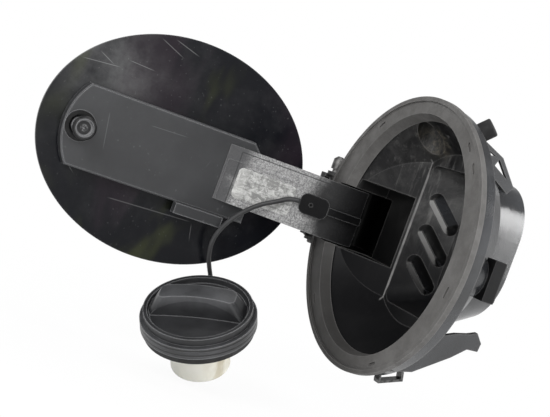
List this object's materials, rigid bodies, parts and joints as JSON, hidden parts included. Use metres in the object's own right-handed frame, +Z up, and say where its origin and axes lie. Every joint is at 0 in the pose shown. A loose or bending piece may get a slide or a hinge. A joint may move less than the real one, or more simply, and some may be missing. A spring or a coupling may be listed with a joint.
{
  "type": "car fuel door",
  "caption": "Moulded fuel filler pot with a rubber rim seal, an oval sprung door on a gooseneck arm and a tethered screw cap.",
  "frame": {"origin": "centre of the seal's front face, on the mouth of the filler pot", "axes": "+X towards the free edge of the shut door, +Y into the car, +Z up along the hinge pin; the door stands open at rest"},
  "size_m": [0.2278, 0.247, 0.2164],
  "materials": {
    "pot_plastic": "moulded black polypropylene, dusty satin",
    "seal_rubber": "warm grey weathered rubber",
    "boot_rubber": "matt black rubber",
    "stub_rubber": "matt black rubber",
    "clip_steel": "blackened spring steel",
    "motor_plastic": "black moulded casing",
    "pin_steel": "phosphated steel",
    "collar_plastic": "black nylon",
    "spring_steel": "oiled spring wire",
    "door_paint": "gloss black with fine scratches",
    "carrier_plastic": "dark grey moulded plastic with scuffs",
    "arm_plastic": "grey speckled moulded plastic",
    "label_foil": "pale foil, blank",
    "post_plastic": "black plastic",
    "post_rubber": "black rubber",
    "tether_plastic": "black plastic",
    "tether_cord": "dark grey flexible plastic",
    "cap_plastic": "black satin plastic",
    "cap_rubber": "black rubber",
    "neck_plastic": "ivory plastic, stained",
    "valve_plastic": "grey plastic"
  },
  "bodies": {
    "pot": {"housing": "pot_plastic", "rim_seal": "seal_rubber", "filler_boot": "boot_rubber", "vent_stub": "stub_rubber", "body_clip": "clip_steel", "latch_motor": "motor_plastic", "hinge_pin": "pin_steel", "pin_collar_upper": "collar_plastic", "pin_collar_lower": "collar_plastic", "hinge_spring": "spring_steel", "tether": "tether_cord", "tether_ring": "cap_plastic"},
    "door": {"door_panel": "door_paint", "door_carrier": "carrier_plastic", "hinge_arm": "arm_plastic", "label_plate": "label_foil", "latch_post": "post_plastic", "post_ring": "post_rubber", "tether_clip": "tether_plastic"},
    "cap": {"cap_knob": "cap_plastic", "cap_seal": "cap_rubber", "cap_neck": "neck_plastic", "cap_valve": "valve_plastic", "valve_spring": "spring_steel"}
  },
  "joints": [
    {"name": "door_hinge", "type": "hinge", "parent": "pot", "child": "door", "pos_m": [-0.108, 0.005, 0], "axis": [0, 0, 1], "range_deg": [0, 90], "deforming": ["tether", "hinge_spring"]},
    {"name": "cap_turn", "type": "hinge", "parent": "pot", "child": "cap", "pos_m": [-0.0803, -0.0612, -0.0927], "axis": [0.3353, -0.4531, 0.826], "continuous": true}
  ]
}
